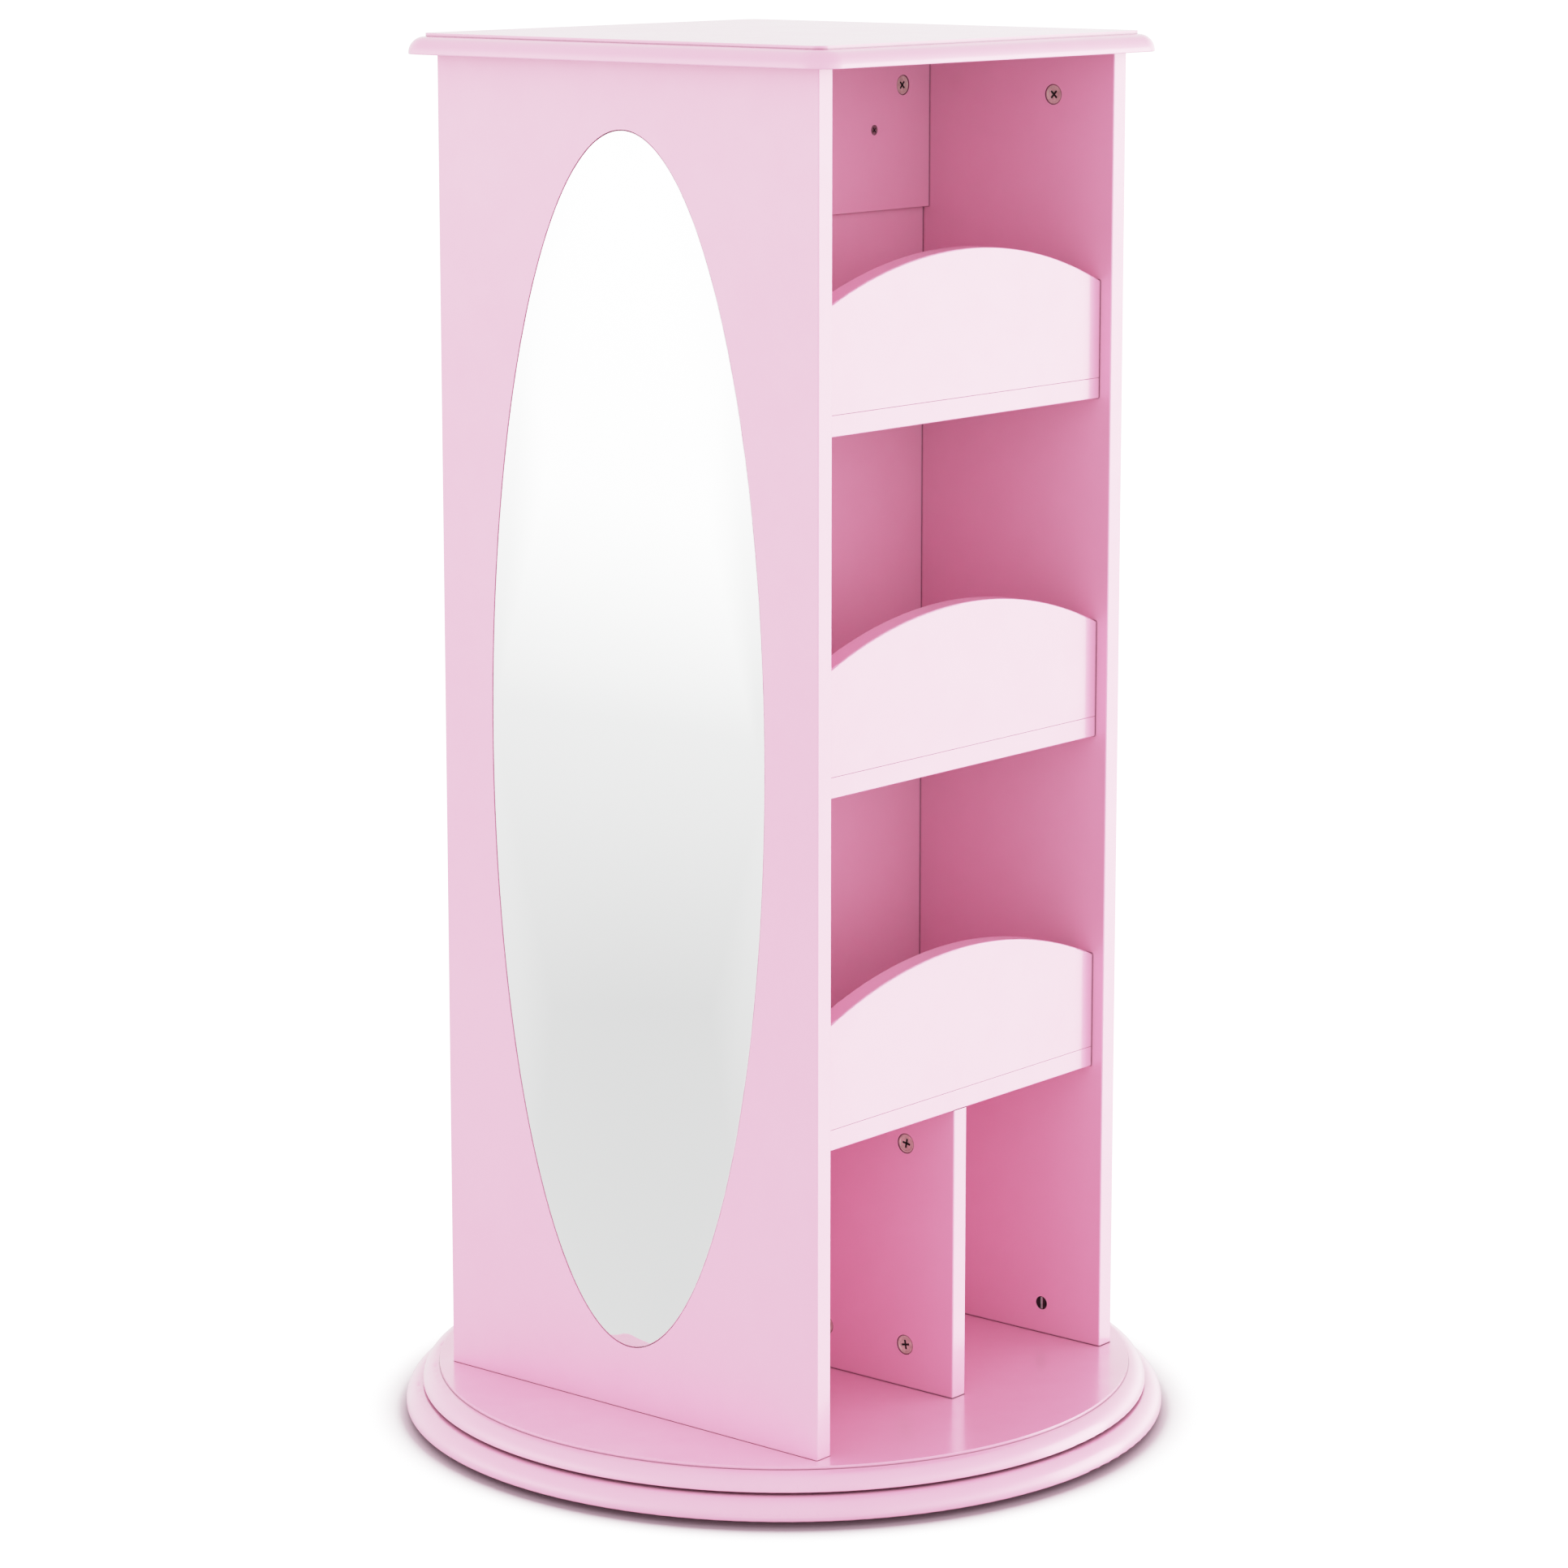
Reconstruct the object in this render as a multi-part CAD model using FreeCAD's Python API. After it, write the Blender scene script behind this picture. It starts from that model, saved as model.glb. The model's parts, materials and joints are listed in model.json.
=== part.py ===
import FreeCAD, Part
import math
import os

# A revolving wardrobe cabinet: a square column of painted board on a turntable that spins on a
# ball bearing over a fixed base disc. Millimetres. The origin is on the floor, on the axis the
# cabinet turns about, with +Z up. The shelves face -Y, the hanging bay faces +Y, the mirror -X.

# Painted board
board = 15.0               # thickness of every painted board and disc
edge_ease = 1.0            # rounding of the boards' open edges
seam_ease = 0.4            # rounding where two boards meet in a flush seam
foot_ease = 0.6            # rounding of the boards' feet on the turntable

# Column
column_width = 350.0       # over the outside of both side panels
column_depth = 350.0       # front edge to back edge of a side panel
cubby_height = 216.0       # clear height of the two cubbies on the turntable
bay_height = 235.0         # clear height above each shelf
shelf_setback = 10.0       # shelves, front boards and divider behind the side panels' front edges
shelf_names = ["lower", "middle", "upper"]

# Arched board along the front of each shelf
arch_end_height = 70.5     # at the side panels
arch_rise = 33.5           # middle above the ends

# Wall across the middle of the column
rail_height = 118.0        # thick rail under the top board
panel_thickness = 4.0      # thin panel below the rail
groove_depth = 5.0         # grooves that hold the thin panel's edges
groove_side_gap = 0.2      # play each side of the thin panel
groove_end_gap = 0.4       # play past the edge of the thin panel

# Moulded edge of the top board and of the turntable: a small step over a quarter round
step_height = 2.5
step_land = 0.8            # flat at the foot of the step
lip_ease = 0.8             # rounding under the lip
top_overhang = 20.5        # top board past the column on every side
top_flat_corner = 8.5      # corner radius of the flat inside the moulding

# Discs
disc_gap = 2.0             # open gap between base disc and turntable
corner_margin = 10.0       # flat of the turntable past the column's corners
base_reach = 12.5          # base disc past the turntable
base_ease = 1.5            # rounding of the base disc's bottom edge
base_edge_flat = 1.5       # upright band between that rounding and the quarter round over it

# Floor glides
glide_count = 6
glide_radius = 15.0
glide_height = 4.0
glide_inset = 42.5         # glide centre inside the base disc's edge
glide_chamfer = 0.8
glide_head_depth = 1.2     # screw head above the floor
glide_screw_backing = 4.8  # base disc left above the screw

# Turntable bearing: two steel races with balls held apart by a cage
ball_circle_radius = 112.0
ball_radius = 3.0
ball_clearance = 0.1       # ball to the floor of its groove, and to the cage
groove_ease = 0.6          # radius of the groove over the ball's
ball_count = 24
race_floor = 1.4           # race left under its ball groove
race_inner_band = 10.0     # race inside the ball circle
race_screw_reach = 22.0    # screw circle outside the ball circle
race_rim = 10.0            # race outside the screw circle
race_channel_gap = 0.5     # play of a race in its channel
race_screw_count = 6
race_screw_backing = 2.5   # board left behind the screws
cage_wall = 2.9            # cage left beside a ball
cage_gap = 0.4             # cage to each race
access_radius = 7.0        # hole in the base disc for driving the upper race's screws
access_race_radius = 5.0   # the same in the lower race

# Oval mirror let into its side panel
mirror_margin = 47.5       # panel left between the mirror and each of its edges
mirror_thickness = 2.0
mirror_sink = 0.2          # mirror face below the painted face
mirror_gap = 0.6           # around the mirror's edge
tape_thickness = 1.0
tape_width = 25.0
tape_end_margin = 185.5    # mirror past the ends of the tape
tape_pitch = 90.0          # between the foam tape strips
tape_count = 2

# Cam locks and their bolts
cam_bore_radius = 7.5
cam_setback = 32.0         # cam centre to the joint
cam_backing = 2.5          # board left behind the cam bore
cam_recess = 0.3           # cam face below the board's face
cam_rim = 1.3              # raised rim around the cam's face
cam_dish = 0.5             # depth of the face inside the rim
cam_row_inset = 44.0       # cam rows from the front and back edges of a shelf
bolt_head_radius = 3.4
bolt_head_start = 1.8      # head of the cam bolt from the cam's centre
bolt_head_length = 3.0
bolt_neck_radius = 2.0
bolt_neck_length = 4.0
bolt_thread_radius = 3.0
blind_backing = 5.5        # board left behind blind holes in a board's face
rail_end_inset = 27.5      # fixings in the rail's ends, from its top and bottom

# Wooden dowels
dowel_radius = 4.0
dowel_edge_depth = 21.5    # depth in a board's edge
dowel_chamfer = 1.0
rail_dowel_reach = 70.0    # dowels in the rail's top edge, from the middle

# Flat head bolts up through the turntable, and the barrel nuts they pull on
connector_radius = 3.0
connector_head_radius = 7.5
connector_head_height = 2.2
connector_head_sink = 0.4  # head above the turntable's underside
connector_cross_depth = 1.5
connector_tip = 9.0        # bolt past the barrel nut's centre
barrel_radius = 5.0
barrel_height = 23.4       # barrel nut's centre above the turntable
barrel_recess = 0.3        # end of the nut below the board's face
barrel_backing = 2.0       # board left behind the nut
barrel_slot_width = 1.4
barrel_slot_depth = 1.6

# Coat pegs on the back of the rail
peg_pitch = 94.5
peg_sides = {"left": -1, "middle": 0, "right": 1}
peg_length = 46.0
peg_foot_radius = 11.0
peg_foot_height = 4.0
peg_neck_radius = 6.0
peg_head_radius = 13.0
peg_head_height = 13.0

# Countersunk wood screws
small_head_radius = 3.4    # races and glides
small_shank_radius = 1.75
long_head_radius = 3.75    # front boards and coat pegs
long_shank_radius = 2.0
screw_tip = 4.0            # length of the pointed end
screw_bite = 20.0          # in the end of a peg or the edge of a front board
front_screw_reach = 100.0  # front board screws from the middle
cross_width = 1.0          # arms of the cross recess
cross_margin = 1.4         # head left past the arms
cross_depth = 1.4

# Cross recess in the cams and in the heads of the turntable's bolts
wide_cross_width = 1.5
wide_cross_length = 7.5
cam_cross_depth = 2.2      # below the cam's face

fit_gap = 0.15             # round fastener in its hole
hole_end_gap = 0.5         # blind hole deeper than the dowel or bolt in it

# Levels
base_bottom = glide_height
base_top = base_bottom + board
turntable_bottom = base_top + disc_gap
turntable_top = turntable_bottom + board
shelf_rise = bay_height + board
column_height = cubby_height + len(shelf_names) * shelf_rise
column_top = turntable_top + column_height
rail_bottom = column_top - rail_height
bearing_middle = base_top + disc_gap / 2

# Places across the column
half_width = column_width / 2
half_depth = column_depth / 2
inner_half_width = half_width - board
panel_middle = half_width - board / 2
shelf_front = -half_depth + shelf_setback
shelf_back = -panel_thickness / 2
front_row = shelf_front + cam_row_inset
rear_row = shelf_back - cam_row_inset
dowel_row = (front_row + rear_row) / 2
back_dowel_row = front_row / 2
rail_face = board / 2
groove_half_width = panel_thickness / 2 + groove_side_gap

# Moulded edges
ovolo_radius = board - step_height - lip_ease
moulding_width = ovolo_radius + step_land
turntable_radius = math.hypot(half_width, half_depth) + corner_margin + moulding_width
top_corner_radius = top_flat_corner + moulding_width
base_radius = turntable_radius + base_reach
base_round = board - base_ease - base_edge_flat

# Bearing
groove_radius = ball_radius + groove_ease
pocket_radius = ball_radius + ball_clearance
groove_offset = groove_radius - pocket_radius
race_thickness = pocket_radius - disc_gap / 2 + race_floor
race_inner_radius = ball_circle_radius - race_inner_band
race_screw_circle = ball_circle_radius + race_screw_reach
race_outer_radius = race_screw_circle + race_rim
race_screw_length = board - race_screw_backing
cage_band = pocket_radius + cage_wall

# Fasteners
blind_depth = board - blind_backing
cam_bore_depth = board - cam_backing
barrel_length = board - barrel_backing - barrel_recess
glide_screw_length = base_top - glide_screw_backing - glide_head_depth
long_screw_length = board + screw_bite
pegs_level = column_top - rail_height / 2

# Mirror
mirror_width = column_depth - 2 * mirror_margin
mirror_height = column_height - 2 * mirror_margin
mirror_level = turntable_top + column_height / 2
mirror_pocket_depth = mirror_sink + mirror_thickness + tape_thickness
tape_length = mirror_height - 2 * tape_end_margin

axis_x = FreeCAD.Vector(1, 0, 0)
axis_y = FreeCAD.Vector(0, 1, 0)
axis_z = FreeCAD.Vector(0, 0, 1)
origin = FreeCAD.Vector(0, 0, 0)


def slab(x_low, x_high, y_low, y_high, z_low, z_high):
    corner = FreeCAD.Vector(x_low, y_low, z_low)
    return Part.makeBox(x_high - x_low, y_high - y_low, z_high - z_low, corner)


def line(start, end):
    return Part.LineSegment(FreeCAD.Vector(*start), FreeCAD.Vector(*end)).toShape()


def arc(start, middle, end):
    return Part.Arc(FreeCAD.Vector(*start), FreeCAD.Vector(*middle), FreeCAD.Vector(*end)).toShape()


def quarter_middle(centre_x, centre_z, radius):
    """Middle of the upper outer quarter of a circle in the XZ plane."""
    reach = radius * math.sqrt(0.5)
    return (centre_x + reach, 0, centre_z + reach)


def turned(edges):
    """Solid turned about Z from a closed outline in the XZ plane."""
    return Part.Face(Part.Wire(edges)).revolve(origin, axis_z)


def turned_outline(points):
    """Solid turned about Z from the corners (radius, height) of a closed outline."""
    corners = [FreeCAD.Vector(radius, 0, height) for radius, height in points]
    return Part.Face(Part.makePolygon(corners + corners[:1])).revolve(origin, axis_z)


def placed(shape, at, along=axis_x, out=axis_z):
    """Copy with its own X turned to along and its own Z turned to out, moved to at."""
    turn = FreeCAD.Rotation(along, out.cross(along), out, "ZXY")
    copy = shape.copy()
    copy.Placement = FreeCAD.Placement(FreeCAD.Vector(*at), turn).multiply(copy.Placement)
    return copy


def around(shape, radius, count, level, start=0.0):
    """Copies of a shape evenly spaced on a circle about Z."""
    copies = []
    for index in range(count):
        angle = start + index * 2 * math.pi / count
        copies.append(placed(shape, (radius * math.cos(angle), radius * math.sin(angle), level)))
    return copies


def edges_at(shape, x=None, y=None, z=None):
    """Edges that lie wholly at the given coordinates."""
    tolerance = 1e-4
    chosen = []
    for edge in shape.Edges:
        box = edge.BoundBox
        spans = ((x, box.XMin, box.XMax), (y, box.YMin, box.YMax), (z, box.ZMin, box.ZMax))
        if all(at is None or max(abs(low - at), abs(high - at)) < tolerance for at, low, high in spans):
            chosen.append(edge)
    return chosen


# Fasteners, each made with its head or face at its own origin

def cross_recess(length, width, depth):
    """Two crossed slots that go down from the origin along -Z."""
    one = slab(-length / 2, length / 2, -width / 2, width / 2, -depth, depth)
    other = slab(-width / 2, width / 2, -length / 2, length / 2, -depth, depth)
    return one.fuse(other)


def wood_screw(head_radius, shank_radius, length):
    """Countersunk screw with its face at the origin, pointing down -Z."""
    body = turned_outline([(0, 0), (head_radius, 0), (shank_radius, shank_radius - head_radius),
                           (shank_radius, screw_tip - length), (0, -length)])
    return body.cut(cross_recess(2 * (head_radius - cross_margin), cross_width, cross_depth))


def screw_hole(head_radius, shank_radius, length):
    """Countersunk hole for wood_screw, open above its face."""
    head = head_radius + fit_gap
    shank = shank_radius + fit_gap
    return turned_outline([(0, board), (head, board), (head, 0), (shank, shank - head),
                           (shank, -length), (0, -length - fit_gap)])


def small_screw(length):
    return wood_screw(small_head_radius, small_shank_radius, length)


def small_screw_hole(length):
    return screw_hole(small_head_radius, small_shank_radius, length)


def long_screw():
    return wood_screw(long_head_radius, long_shank_radius, long_screw_length)


def long_screw_hole():
    return screw_hole(long_head_radius, long_shank_radius, long_screw_length)


def pointing_up(shape):
    """Copy of a shape made along -Z that points along +Z."""
    return placed(shape, (0, 0, 0), axis_x, -axis_z)


def cam_lock():
    """Cam with its face towards +Z, a hollow for its bolt's head and a mouth towards +X for the neck."""
    radius = cam_bore_radius - fit_gap
    height = cam_bore_depth - cam_recess - fit_gap
    body = turned_outline([(0, 0), (radius, 0), (radius, height), (0, height)])
    body.translate(FreeCAD.Vector(0, 0, -cam_recess - height))
    dish = Part.makeCylinder(radius - cam_rim, cam_dish, FreeCAD.Vector(0, 0, -cam_recess - cam_dish))
    cross = cross_recess(wide_cross_length, wide_cross_width, cam_recess + cam_dish + cam_cross_depth)
    start = FreeCAD.Vector(bolt_head_start - fit_gap, 0, -board / 2)
    hollow = Part.makeCylinder(bolt_head_radius + fit_gap, bolt_head_length + 2 * fit_gap, start, axis_x)
    mouth = Part.makeCylinder(bolt_neck_radius + fit_gap, cam_bore_radius, start, axis_x)
    return body.cut([dish, cross, hollow, mouth])


def cam_bolt():
    """Bolt that runs from the cam's centre along +X and screws into the next board."""
    head_end = bolt_head_start + bolt_head_length
    neck_end = head_end + bolt_neck_length
    thread_end = cam_setback + blind_depth - hole_end_gap
    bolt = turned_outline([(0, bolt_head_start), (bolt_head_radius, bolt_head_start),
                           (bolt_head_radius, head_end), (bolt_neck_radius, head_end),
                           (bolt_neck_radius, neck_end), (bolt_head_radius, neck_end),
                           (bolt_head_radius, cam_setback), (bolt_thread_radius, cam_setback),
                           (bolt_thread_radius, thread_end), (0, thread_end)])
    return placed(bolt, (0, 0, -board / 2), axis_z, axis_x)


def cam_bore():
    """Bore for the cam and the hole for its bolt out to the board's edge."""
    bore = Part.makeCylinder(cam_bore_radius, board, FreeCAD.Vector(0, 0, -cam_bore_depth))
    start = FreeCAD.Vector(0, 0, -board / 2)
    shank = Part.makeCylinder(bolt_head_radius + fit_gap, cam_setback, start, axis_x)
    return bore.fuse(shank)


def cam_thread_hole():
    """Blind hole for the bolt's thread in the next board."""
    start = FreeCAD.Vector(cam_setback, 0, -board / 2)
    return Part.makeCylinder(bolt_thread_radius + fit_gap, blind_depth, start, axis_x)


def dowel():
    """Dowel that stands in a board's face below the origin and in an edge above it."""
    low = hole_end_gap - blind_depth
    length = dowel_edge_depth - hole_end_gap - low
    pin = Part.makeCylinder(dowel_radius, length, FreeCAD.Vector(0, 0, low))
    ends = edges_at(pin, z=low) + edges_at(pin, z=low + length)
    return pin.makeChamfer(dowel_chamfer, ends)


def dowel_hole():
    length = blind_depth + dowel_edge_depth
    return Part.makeCylinder(dowel_radius + fit_gap, length, FreeCAD.Vector(0, 0, -blind_depth))


def connector_bolt():
    """Flat head bolt that points up +Z, with the underside of its head at the turntable's underside."""
    head_low = connector_head_sink
    head_top = head_low + connector_head_height
    tip = board + barrel_height + connector_tip
    bolt = turned_outline([(0, head_low), (connector_head_radius, head_low),
                           (connector_head_radius, head_top), (connector_radius, head_top),
                           (connector_radius, tip), (0, tip)])
    cross = pointing_up(cross_recess(wide_cross_length, wide_cross_width, connector_cross_depth))
    cross.translate(FreeCAD.Vector(0, 0, head_low))
    return bolt.cut(cross)


def connector_hole():
    head_top = connector_head_sink + connector_head_height
    tip = board + barrel_height + connector_tip + hole_end_gap
    head = connector_head_radius + fit_gap
    shank = connector_radius + fit_gap
    return turned_outline([(0, -disc_gap / 2), (head, -disc_gap / 2), (head, head_top),
                           (shank, head_top), (shank, tip), (0, tip)])


def barrel_nut():
    """Barrel nut with its slotted end at the board's face, pointing down -Z."""
    low = -barrel_recess - barrel_length
    body = Part.makeCylinder(barrel_radius, barrel_length, FreeCAD.Vector(0, 0, low))
    thread = Part.makeCylinder(connector_radius + fit_gap, 4 * barrel_radius,
                               FreeCAD.Vector(-2 * barrel_radius, 0, -board / 2), axis_x)
    slot = slab(-barrel_radius, barrel_radius, -barrel_slot_width / 2, barrel_slot_width / 2,
                -barrel_recess - barrel_slot_depth, 0)
    return body.cut([thread, slot])


def barrel_hole():
    depth = barrel_recess + barrel_length + fit_gap
    return Part.makeCylinder(barrel_radius + fit_gap, depth + board, FreeCAD.Vector(0, 0, -depth))


# Where the fasteners sit: a place, the way the cam's bolt runs, and the way out of the board's face

def top_cams(side):
    """Cams in a side panel, with bolts up into the top board."""
    level = column_top - cam_setback
    inward = FreeCAD.Vector(-side, 0, 0)
    return [((side * inner_half_width, row, level), axis_z, inward) for row in (front_row, -front_row)]


def rail_cams():
    """Cams in the rail's front face, with bolts out into the side panels."""
    level = column_top - rail_end_inset
    reach = inner_half_width - cam_setback
    return [((side * reach, -rail_face, level), FreeCAD.Vector(side, 0, 0), -axis_y) for side in (-1, 1)]


def shelf_cams(underside):
    """Cams under a shelf, with bolts out into the side panels."""
    reach = inner_half_width - cam_setback
    places = []
    for side in (-1, 1):
        for row in (front_row, rear_row):
            places.append(((side * reach, row, underside), FreeCAD.Vector(side, 0, 0), -axis_z))
    return places


def divider_cams():
    """Cams in the divider's left face, with bolts up into the shelf and down into the turntable."""
    top = turntable_top + cubby_height - cam_setback
    bottom = turntable_top + cam_setback
    places = []
    for row in (front_row, rear_row):
        places.append(((-board / 2, row, top), axis_z, -axis_x))
        places.append(((-board / 2, row, bottom), -axis_z, -axis_x))
    return places


def shelf_underside(index):
    return turntable_top + cubby_height + index * shelf_rise


def all_cams():
    places = top_cams(-1) + top_cams(1) + rail_cams() + divider_cams()
    for index in range(len(shelf_names)):
        places += shelf_cams(shelf_underside(index))
    return places


def side_dowels(side):
    """Dowels that end in a side panel's face, pointing to the middle of the column."""
    inward = FreeCAD.Vector(-side, 0, 0)
    face = side * inner_half_width
    places = [((face, 0, rail_bottom + rail_end_inset), inward)]
    for index in range(len(shelf_names)):
        places.append(((face, dowel_row, shelf_underside(index) + board / 2), inward))
    return places


def turntable_dowels():
    """Dowels that stand in the turntable under the side panels."""
    places = []
    for side in (-1, 1):
        for row in (back_dowel_row, -back_dowel_row):
            places.append(((side * panel_middle, row, turntable_top), axis_z))
    return places


def top_dowels():
    """Dowels that hang from the top board into the side panels and the rail."""
    spots = [(side * panel_middle, row) for side in (-1, 1) for row in (back_dowel_row, -back_dowel_row)]
    spots += [(side * rail_dowel_reach, 0) for side in (-1, 1)]
    return [((x, y, column_top), -axis_z) for x, y in spots]


def all_dowels():
    return side_dowels(-1) + side_dowels(1) + turntable_dowels() + top_dowels()


def across(way):
    """A direction square to a given one."""
    return axis_y if abs(way.y) < 0.5 else axis_x


def cam_shapes(shape, places):
    return [placed(shape, at, along, out) for at, along, out in places]


def dowel_shapes(shape, places):
    return [placed(shape, at, across(way), way) for at, way in places]


def connector_places():
    """Bolts up through the turntable into the side panels."""
    spots = [(side, row) for side in (-1, 1) for row in (front_row, -front_row)]
    return [(side * panel_middle, row, turntable_bottom) for side, row in spots]


def barrel_shapes(shape, side):
    """Barrel nuts or their holes in a side panel's inner face."""
    level = turntable_top + barrel_height
    inward = FreeCAD.Vector(-side, 0, 0)
    places = [(side * inner_half_width, row, level) for row in (front_row, -front_row)]
    return [placed(shape, at, axis_z, inward) for at in places]


def front_screw_shapes(shape, index):
    """Screws up through a shelf into the arched board, or their holes."""
    row = shelf_front + board / 2
    level = shelf_underside(index)
    places = [(side * front_screw_reach, row, level) for side in (-1, 1)]
    return [placed(shape, at, axis_x, -axis_z) for at in places]


def peg_screw_shape(shape, side):
    """Screw from the shelf side through the rail into a peg, or its hole."""
    return placed(shape, (side * peg_pitch, -rail_face, pegs_level), axis_x, -axis_y)


# Base

def glide_spots(shape, level):
    return around(shape, base_radius - glide_inset, glide_count, level, math.pi / glide_count)


def floor_glides():
    pad = Part.makeCylinder(glide_radius, glide_height)
    pad = pad.makeChamfer(glide_chamfer, edges_at(pad, z=0))
    hole = pointing_up(small_screw_hole(glide_screw_length))
    hole.translate(FreeCAD.Vector(0, 0, glide_head_depth))
    return glide_spots(pad.cut(hole), 0)


def glide_screws():
    return glide_spots(pointing_up(small_screw(glide_screw_length)), glide_head_depth)


def base_disc():
    rim = base_radius
    low = base_bottom
    top = base_top
    round_low = top - base_round
    ease = base_ease * (1 - math.sqrt(0.5))
    blank = turned([line((0, 0, low), (rim - base_ease, 0, low)),
                    arc((rim - base_ease, 0, low), (rim - ease, 0, low + ease), (rim, 0, low + base_ease)),
                    line((rim, 0, low + base_ease), (rim, 0, round_low)),
                    arc((rim, 0, round_low), quarter_middle(rim - base_round, round_low, base_round),
                        (rim - base_round, 0, top)),
                    line((rim - base_round, 0, top), (0, 0, top)),
                    line((0, 0, top), (0, 0, low))])
    channel = race_channel(top - race_thickness)
    glide_holes = glide_spots(pointing_up(small_screw_hole(glide_screw_length)), glide_head_depth)
    race_holes = race_spots(small_screw_hole(race_screw_length), top)
    access = Part.makeCylinder(access_radius, board, FreeCAD.Vector(*access_spot(low)))
    return blank.cut([channel, access] + glide_holes + race_holes)


def access_spot(level):
    """Half way between two screws of the lower race."""
    angle = math.pi / race_screw_count
    return (race_screw_circle * math.cos(angle), race_screw_circle * math.sin(angle), level)


# Bearing

def race_channel(low):
    """Ring cut that a race lies in."""
    inner = race_inner_radius - race_channel_gap
    outer = race_outer_radius + race_channel_gap
    high = low + race_thickness
    return turned_outline([(inner, low), (outer, low), (outer, high), (inner, high)])


def race_spots(shape, level):
    return around(shape, race_screw_circle, race_screw_count, level)


def race_ring(low, groove_level):
    high = low + race_thickness
    ring = turned_outline([(race_inner_radius, low), (race_outer_radius, low),
                           (race_outer_radius, high), (race_inner_radius, high)])
    groove = Part.makeTorus(ball_circle_radius, groove_radius, FreeCAD.Vector(0, 0, groove_level))
    return ring.cut(groove)


def lower_bearing_race():
    low = base_top - race_thickness
    holes = race_spots(small_screw_hole(race_screw_length), base_top)
    access = Part.makeCylinder(access_race_radius, board, FreeCAD.Vector(*access_spot(low)))
    return race_ring(low, bearing_middle + groove_offset).cut(holes + [access])


def upper_bearing_race():
    holes = race_spots(pointing_up(small_screw_hole(race_screw_length)), turntable_bottom)
    return race_ring(turntable_bottom, bearing_middle - groove_offset).cut(holes)


def lower_race_screws():
    return race_spots(small_screw(race_screw_length), base_top)


def upper_race_screws():
    return race_spots(pointing_up(small_screw(race_screw_length)), turntable_bottom)


def ball_cage():
    low = base_top + cage_gap
    high = turntable_bottom - cage_gap
    inner = ball_circle_radius - cage_band
    outer = ball_circle_radius + cage_band
    ring = turned_outline([(inner, low), (outer, low), (outer, high), (inner, high)])
    pocket = Part.makeCylinder(pocket_radius, high - low)
    return ring.cut(around(pocket, ball_circle_radius, ball_count, low))


def bearing_balls():
    return around(Part.makeSphere(ball_radius), ball_circle_radius, ball_count, bearing_middle)


# Moulded boards

def moulded_profile(reach, low):
    """Outline of a moulded edge in the XZ plane, from the origin out to reach."""
    high = low + board
    step = high - step_height
    flat = reach - moulding_width
    ease = lip_ease * (1 - math.sqrt(0.5))
    return [line((0, 0, low), (reach - lip_ease, 0, low)),
            arc((reach - lip_ease, 0, low), (reach - ease, 0, low + ease), (reach, 0, low + lip_ease)),
            arc((reach, 0, low + lip_ease),
                quarter_middle(reach - ovolo_radius, low + lip_ease, ovolo_radius),
                (reach - ovolo_radius, 0, step)),
            line((reach - ovolo_radius, 0, step), (flat, 0, step)),
            line((flat, 0, step), (flat, 0, high)),
            line((flat, 0, high), (0, 0, high)),
            line((0, 0, high), (0, 0, low))]


def turntable_disc():
    blank = turned(moulded_profile(turntable_radius, turntable_bottom))
    cuts = [race_channel(turntable_bottom)]
    cuts += race_spots(pointing_up(small_screw_hole(race_screw_length)), turntable_bottom)
    cuts += dowel_shapes(dowel_hole(), turntable_dowels())
    cuts += [placed(connector_hole(), at) for at in connector_places()]
    cuts += cam_shapes(cam_thread_hole(), divider_cams())
    return blank.cut(cuts)


def top_board():
    """Square board whose moulded edge goes round its rounded corners."""
    reach = top_corner_radius
    run = half_width + top_overhang - reach
    side_run = half_depth + top_overhang - reach
    face = Part.Face(Part.Wire(moulded_profile(reach, column_top)))
    corner = face.revolve(origin, axis_z, 90)
    pieces = [slab(-run, run, -side_run, side_run, column_top, column_top + board)]
    for quarter, (x, y) in enumerate([(1, 1), (-1, 1), (-1, -1), (1, -1)]):
        length = 2 * (side_run if quarter % 2 == 0 else run)
        edge = face.extrude(FreeCAD.Vector(0, -length, 0))
        for piece in (corner.copy(), edge):
            piece.rotate(origin, axis_z, 90 * quarter)
            piece.translate(FreeCAD.Vector(x * run, y * side_run, 0))
            pieces.append(piece)
    blank = pieces[0].fuse(pieces[1:]).removeSplitter()
    cuts = dowel_shapes(dowel_hole(), top_dowels())
    cuts += cam_shapes(cam_thread_hole(), top_cams(-1) + top_cams(1))
    return blank.cut(cuts)


# Column

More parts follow.
